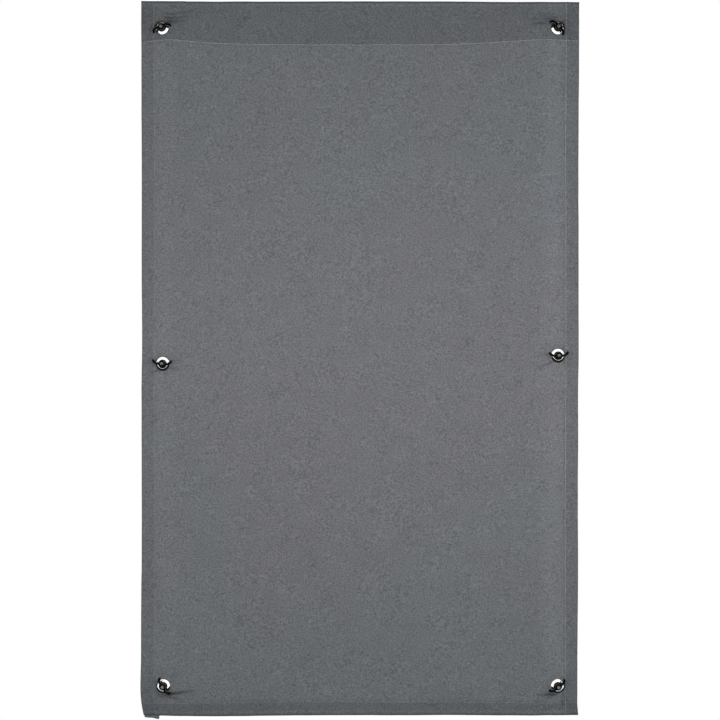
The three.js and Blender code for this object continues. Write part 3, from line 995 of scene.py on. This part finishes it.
def build_cup(place, centre):
    """A clear suction cup: sealing lip, thin bell, and a round neck moulded on the stud."""
    radius = half_width(f"suction_cup_{place}")
    top = box_of(f"suction_cup_{place}")[0].y
    steps = np.linspace(0, 1, CUP_STEPS + 1)
    points = [((radius - CUP_LAND) * t, -CUP_HOLLOW * (1 - t**2)) for t in steps]
    points += [(radius + r * MM, y * MM) for r, y in CUP_LIP]
    waist = ((radius + CUP_NECK) / 2, (CUP_FOOT + 1 * MM) * 0.6)
    bell = ((radius, -1 * MM), waist, (CUP_NECK, CUP_FOOT))
    for t in steps[1:]:
        weights = ((1 - t) ** 2, 2 * t * (1 - t), t**2)
        points.append([sum(w * point[i] for w, point in zip(weights, bell)) for i in (0, 1)])
    points += [(CUP_NECK + r * MM, CUP_FOOT + y * MM) for r, y in NECK_GROOVE]
    points += [(r * MM, top + y * MM) for r, y in CUP_HEAD]
    return turned(f"cup_vinyl_{place}", points, CUP_SIDES, centre, VINYL)


PITCH = 0.8 * MM
STUD_RADIUS = 2.5 * MM
STUD_SIDES = 28
THREAD_DEPTH = 0.42 * MM
THREAD_RINGS = 8  # to each pitch
THREAD_END = 0.6 * MM  # from the head
TIP_CUT = 0.35 * MM  # how far the tip's chamfer goes below the thread's root
TIP_LENGTH = 0.9 * MM
HEAD_THICK = 1.4 * MM
HEAD_RADIUS = 5.4 * MM
HEAD_CHAMFER = 0.3 * MM


def build_stud(place, centre):
    """A headed stud with a real helical thread."""
    tip, head_back = (corner.y for corner in box_of(f"stud_{place}"))
    head_front = head_back - HEAD_THICK
    length = head_front - THREAD_END - tip
    count = int(length / PITCH * THREAD_RINGS)
    root = STUD_RADIUS - THREAD_DEPTH
    rings = [circle(0, tip, STUD_SIDES)]
    for i in range(count + 1):
        y = tip + length * i / count
        ease = min(i / count * length / TIP_LENGTH, 1)
        widest = root - TIP_CUT + (THREAD_DEPTH + TIP_CUT) * ease
        ring = []
        for k, point in enumerate(circle(1, y, STUD_SIDES)):
            tooth = abs((y / PITCH + k / STUD_SIDES) % 1 - 0.5) * 2
            r = min(root + THREAD_DEPTH * min(1, max(0, tooth * 1.35 - 0.18)), widest)
            ring.append(Vector((r * point.x, y, r * point.z)))
        rings.append(ring)
    flat = HEAD_RADIUS - HEAD_CHAMFER
    head = ((STUD_RADIUS, head_front), (flat, head_front), (HEAD_RADIUS, head_front + HEAD_CHAMFER),
            (HEAD_RADIUS, head_back - HEAD_CHAMFER), (flat, head_back), (0, head_back))
    rings += [circle(r, y, STUD_SIDES) for r, y in head]
    return new_piece(f"stud_steel_{place}", *skin(rings, centre), ZINC)


def superellipse(count, power):
    """Points round a rounded rectangle of half sizes 1."""
    turns = [2 * math.pi * k / count for k in range(count)]
    return [
        [math.copysign(abs(part) ** (2 / power), part) for part in (math.cos(turn), math.sin(turn))]
        for turn in turns
    ]


# One wing: distance from the axis, height of its middle over the nut's base, half height, half
# thickness, and how far it is bent aside, in millimetres.
WING_SECTIONS = (
    (2.2, 3.9, 2.6, 1.5, -0.5), (4.0, 4.2, 2.9, 1.45, -1.0), (5.6, 4.9, 3.2, 1.45, -1.2),
    (7.4, 5.9, 3.6, 1.5, -1.0), (9.2, 6.7, 3.9, 1.7, -0.3), (10.8, 7.2, 3.9, 1.95, 0.5),
    (12.2, 7.5, 3.5, 2.1, 1.2), (13.1, 7.7, 2.7, 1.85, 1.7), (13.7, 7.8, 1.6, 1.15, 2.0),
    (13.9, 7.8, 0.6, 0.45, 2.1),
)
WING_LEAN = math.radians(10)
# The nut's hub and bore, in millimetres as radius and height; a third number rounds the corner.
NUT_HUB = ((0, 0), (5, 0, 1), (4.75, -2.4, 1), (4.3, -7.5, 1.4), (0, -7.5))
NUT_BORE = ((0, 2), (2.66, 2), (2.66, -6.9), (3.3, -7.6), (3.3, -9), (0, -9))
NUT_ROUNDING = 0.45 * MM
NUT_SIDES = 48
BORE_SIDES = 40
WING_SIDES = 20
NUT_VOXEL = 0.26 * MM


def wing_mesh(edit, turn, side):
    """Adds one closed wing, turned about the axis, and bent to the side of +1 or -1."""
    outline = superellipse(WING_SIDES, 2.6)
    rings = []
    for x, middle_y, half, thick, bend in WING_SECTIONS:
        ring = []
        for a, b in outline:
            point = Vector((x, -(middle_y + half * a), side * bend + thick * b)) * MM
            ring.append(edit.verts.new(Matrix.Rotation(turn, 3, "Y") @ point))
        rings.append(ring)
    for lower, upper in zip(rings, rings[1:]):
        for k in range(WING_SIDES):
            n = (k + 1) % WING_SIDES
            edit.faces.new((lower[k], lower[n], upper[n], upper[k]))
    edit.faces.new(list(reversed(rings[0])))
    edit.faces.new(rings[-1])


def nut_shape():
    """The winged nut in its own place: base at y = 0, towards the room, wings leaning to +z."""
    hub = rounded([(r * MM, y * MM, *share) for r, y, *share in NUT_HUB], NUT_ROUNDING)
    verts, faces = lathe(hub, NUT_SIDES)
    edit = bmesh.new()
    points = [edit.verts.new(v) for v in verts]
    for face in faces:
        edit.faces.new([points[i] for i in face])
    wing_mesh(edit, -WING_LEAN, 1)
    wing_mesh(edit, math.pi + WING_LEAN, -1)
    bmesh.ops.recalc_face_normals(edit, faces=edit.faces)
    mesh = bpy.data.meshes.new("nut shape")
    edit.to_mesh(mesh)
    edit.free()
    shape = put_in_scene("nut shape", mesh)
    remesh = shape.modifiers.new("Remesh", "REMESH")
    remesh.mode = "VOXEL"
    remesh.voxel_size = NUT_VOXEL
    relax = shape.modifiers.new("Relax", "SMOOTH")
    relax.factor = 0.5
    relax.iterations = 5
    apply_modifiers(shape)
    cutter = new_object("bore", *lathe([(r * MM, y * MM) for r, y in NUT_BORE], BORE_SIDES))
    cut = shape.modifiers.new("Bore", "BOOLEAN")
    cut.operation = "DIFFERENCE"
    cut.solver = "EXACT"
    cut.object = cutter
    apply_modifiers(shape)
    mesh = shape.data.copy()
    bpy.data.objects.remove(shape)
    bpy.data.objects.remove(cutter)
    return mesh


def nut_turn(place, centre):
    """How far the nut of the frame is turned: its wings lean towards this bearing."""
    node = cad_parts[f"wing_nut_{place}"]
    flat = [Vector((v.co.x - centre.x, v.co.z - centre.z)) for v in node.data.vertices]
    reach = max(v.length for v in flat)
    tips = sum((v for v in flat if v.length > 0.9 * reach), Vector((0, 0)))
    return math.atan2(tips.y, tips.x)


def build_nut(place, centre, shape):
    mesh = shape.copy()
    turn = nut_turn(place, centre) - math.pi / 2
    base = Vector((centre.x, box_of(f"wing_nut_{place}")[1].y, centre.z))
    mesh.transform(Matrix.Translation(base) @ Matrix.Rotation(-turn, 4, "Y"))
    piece = put_in_scene(f"nut_nylon_{place}", mesh)
    mesh.name = piece.name
    mesh.materials.clear()
    mesh.materials.append(NYLON)
    shade_smooth(piece)
    return piece


# ---- The end of the left hem ----


END_COLUMNS, END_ROWS = 22, 12
END_LEFT, END_RIGHT = 4 * MM, 24.5 * MM  # from the cloth's left edge
END_ABOVE = 7 * MM  # how far up behind the cloth it starts


def build_hem_end():
    """The end of the left hem, cut long, which shows under the bottom edge."""
    s, t = np.meshgrid(np.linspace(0, 1, END_COLUMNS), np.linspace(0, 1, END_ROWS))
    x = -HALF_WIDTH + END_LEFT + (END_RIGHT - END_LEFT) * s + 0.5 * MM * np.sin(5 * t) * s
    drop = 2.6 * MM + 1.9 * MM * s + 0.25 * MM * np.sin(9 * s)
    z = -HALF_HEIGHT + END_ABOVE * (1 - t) - drop * t
    flat_z = np.maximum(z, -HALF_HEIGHT)
    base = mean_surface(x, flat_z)
    y = base[..., 1] + FOLD * 2 + 0.35 * MM * np.sin(3 * s + 2 * t) * t - 0.5 * MM * t * t * s
    z = z + base[..., 2] - flat_z
    points = np.stack([x, y, z], -1).reshape(-1, 3)
    piece = new_piece("left_hem_end", points, grid_faces(END_ROWS, END_COLUMNS), FACE_CLOTH)
    # Painted shade: the hem end is darker along its lower edge.
    cut = smooth_ramp(-z.ravel(), HALF_HEIGHT + 1.5 * MM, HALF_HEIGHT + 4 * MM)
    add_shade(piece.data, 0.95 - 0.4 * cut)
    flip_towards_room(piece)
    thicken(piece)
    return piece


def flip_towards_room(piece):
    """Turns the faces so that the thickness goes on the same way as the cloth's."""
    edit = bmesh.new()
    edit.from_mesh(piece.data)
    edit.normal_update()
    if sum(face.normal.y for face in edit.faces) > 0:
        bmesh.ops.reverse_faces(edit, faces=edit.faces)
    edit.to_mesh(piece.data)
    edit.free()


# ---- Making the object ----

FACE_CLOTH = cloth_material(
    "face cloth", (0.1425, 0.1555, 0.165), (0.148, 0.1495, 0.163), 0.8, True)
REVERSE_CLOTH = cloth_material(
    "reverse cloth", (0.2, 0.206, 0.216), (0.21, 0.211, 0.225), 0.6, False)
THREAD = thread_material("sewing thread", (0.27, 0.28, 0.295), (0.52, 0.53, 0.55))
# A copy of the sewing thread in painted shade, for the seams on the left and at the bottom.
SHADED_THREAD = thread_material("shaded sewing thread", (0.13, 0.14, 0.15), (0.4, 0.41, 0.425))
SHADED_SEAMS = ("left", "bottom")
NICKEL = nickel_material()
ZINC = zinc_material()
NYLON = nylon_material()
VINYL = vinyl_material()

cloth = build_sheet()
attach(cloth, "panel")
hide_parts("panel_cloth", "top_hem", "bottom_hem", "right_hem")

hem_end = build_hem_end()
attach(hem_end, "panel")
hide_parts("left_hem")

edge_x, edge_z = HALF_WIDTH - 1.5 * MM, HALF_HEIGHT - 1.5 * MM
SEAMS = {
    "top": ((-edge_x, TOP_SEAM_Z), (edge_x, TOP_SEAM_Z)),
    "bottom": ((-edge_x, BOTTOM_SEAM_Z), (edge_x, BOTTOM_SEAM_Z)),
    "left": ((-SIDE_SEAM_X, -edge_z), (-SIDE_SEAM_X, edge_z)),
    "right": ((SIDE_SEAM_X, -edge_z), (SIDE_SEAM_X, edge_z)),
}
for number, (name, ends) in enumerate(SEAMS.items()):
    for face, thread in (("front", "needle"), ("back", "bobbin")):
        finish = SHADED_THREAD if name in SHADED_SEAMS else THREAD
        row = stitch_line(f"stitches_{name}_{thread}", ends, face, finish, 20 + number)
        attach(row, "panel")
        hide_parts(f"{name}_seam_{thread}_thread")

nut_mesh = nut_shape()
for place, centre in zip(PLACES, EYELETS):
    flange, washer = build_eyelet(place, centre)
    made = [
        (flange, "panel", "nickel", f"eyelet_{place}"),
        (washer, "panel", "nickel", f"eyelet_ring_{place}"),
        (build_cup(place, centre), f"cup_{place}", "clear_vinyl", f"suction_cup_{place}"),
        (build_stud(place, centre), f"cup_{place}", "zinc_steel", f"stud_{place}"),
        (build_nut(place, centre, nut_mesh), f"nut_{place}", "black_nylon", f"wing_nut_{place}"),
    ]
    for piece, body, finish, node in made:
        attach(piece, body)
        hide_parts(node)
bpy.data.meshes.remove(nut_mesh)

# ---- Stage, light and camera ----


FLOOR_REACH = 6.0
FLOOR_LEVEL = -1.1


def build_stage():
    corners = [(x * FLOOR_REACH, y * FLOOR_REACH, FLOOR_LEVEL) for x, y in SQUARE]
    floor = new_object("floor", corners, [(0, 1, 2, 3)])
    tree = new_material("floor white")
    glow = tree.node("ShaderNodeEmission", None, {"Color": (1, 1, 1, 1), "Strength": 1.0})
    tree.node("ShaderNodeOutputMaterial", None, {"Surface": glow}, None)
    floor.data.materials.append(tree.owner)
    floor.visible_diffuse = False
    floor.visible_glossy = False
    floor.visible_shadow = False


def build_world():
    """White to the camera, a soft even light on the cloth, and mostly dark in the bright metal."""
    world = bpy.data.worlds.new("studio")
    bpy.context.scene.world = world
    tree = Tree(world)
    direction = tree.node("ShaderNodeTexCoord", output="Generated")
    _, y, z = tree.node("ShaderNodeSeparateXYZ", None, [direction], None)
    rear = y.step(0.15, 0.9)
    soft = (0 - y).step(0.3, 0.8) * 0.42 + rear * 0.85 + 0.06
    mirrored = rear * 0.8 + z.step(0.75, 0.95) * 0.1 + 0.015
    shiny = tree.node("ShaderNodeLightPath", output="Is Glossy Ray")
    level = tree.node("ShaderNodeMix", {"data_type": "FLOAT"}, {0: shiny, 2: soft, 3: mirrored})
    seen = tree.node("ShaderNodeLightPath", output="Is Camera Ray")
    strength = tree.node("ShaderNodeMix", {"data_type": "FLOAT"}, {0: seen, 2: level, 3: 1.0})
    sky = tree.node("ShaderNodeBackground", None, {"Color": (1, 1, 1, 1), "Strength": strength})
    tree.node("ShaderNodeOutputWorld", None, {"Surface": sky}, None)


def softbox(name, place, target, size, power, only=None):
    """A rectangular light. With only, it shows in the shine of those pieces and nowhere else."""
    data = bpy.data.lights.new(name, "AREA")
    data.shape = "RECTANGLE"
    data.size, data.size_y = size
    data.energy = power
    light = put_in_scene(name, data)
    light.location = place
    light.rotation_euler = (Vector(target) - Vector(place)).to_track_quat("-Z", "Y").to_euler()
    light.visible_camera = False
    if only:
        receivers = bpy.data.collections.new(name)
        for piece in only:
            receivers.objects.link(piece)
        light.light_linking.receiver_collection = receivers
        light.visible_diffuse = False
    else:
        light.visible_glossy = False


KEY_PLACE, KEY_TARGET = (0.1, -0.9, 0.03), (0.08, 0, 0)
KEY_SIZE = (1.5, 0.5)  # metres
KEY_POWER = 9  # watts

# Bright boards that show in the eyelets' metal: for each row of eyelets, how far the board's
# middle is above it, and the board's width and height, in metres.
BOARDS = {
    "top": (-0.8, (1.1, 1.7)),
    "mid": (0.81, (2.2, 1.7)),
    "bottom": (0.72, (1.3, 1.7)),
}
BOARD_FRONT = 0.3
SHINING = ("eyelet_metal", "stud_steel")
BOARD_GLOW = 1.5


def light_eyelets():
    for row, (above, size) in BOARDS.items():
        places = [place for place in PLACES if place.startswith(row)]
        metal = [bpy.data.objects[f"{kind}_{place}"] for place in places for kind in SHINING]
        level = sum(middle(f"eyelet_{place}").z for place in places) / len(places)
        power = BOARD_GLOW * math.pi * size[0] * size[1]
        spot = (0, -BOARD_FRONT, level + above)
        softbox(f"board {row}", spot, (0, 0, level + above), size, power, metal)


CAMERA_DISTANCE = 2.0
SENSOR = 36  # millimetres
FIELD = 0.9766  # height of what the camera sees at the cloth
CAMERA_ASIDE = (0.14 * MM, -2.2 * MM)  # camera's place in x and z


def build_camera():
    data = bpy.data.cameras.new("camera")
    data.sensor_width = SENSOR
    data.lens = SENSOR * CAMERA_DISTANCE / FIELD
    camera = put_in_scene("camera", data)
    camera.location = (CAMERA_ASIDE[0], REST_LEVEL - CAMERA_DISTANCE, CAMERA_ASIDE[1])
    camera.rotation_euler = (math.pi / 2, 0, 0)
    bpy.context.scene.camera = camera


build_stage()
build_world()
softbox("key", KEY_PLACE, KEY_TARGET, KEY_SIZE, KEY_POWER)
light_eyelets()
build_camera()
bpy.context.scene.view_settings.view_transform = "Standard"
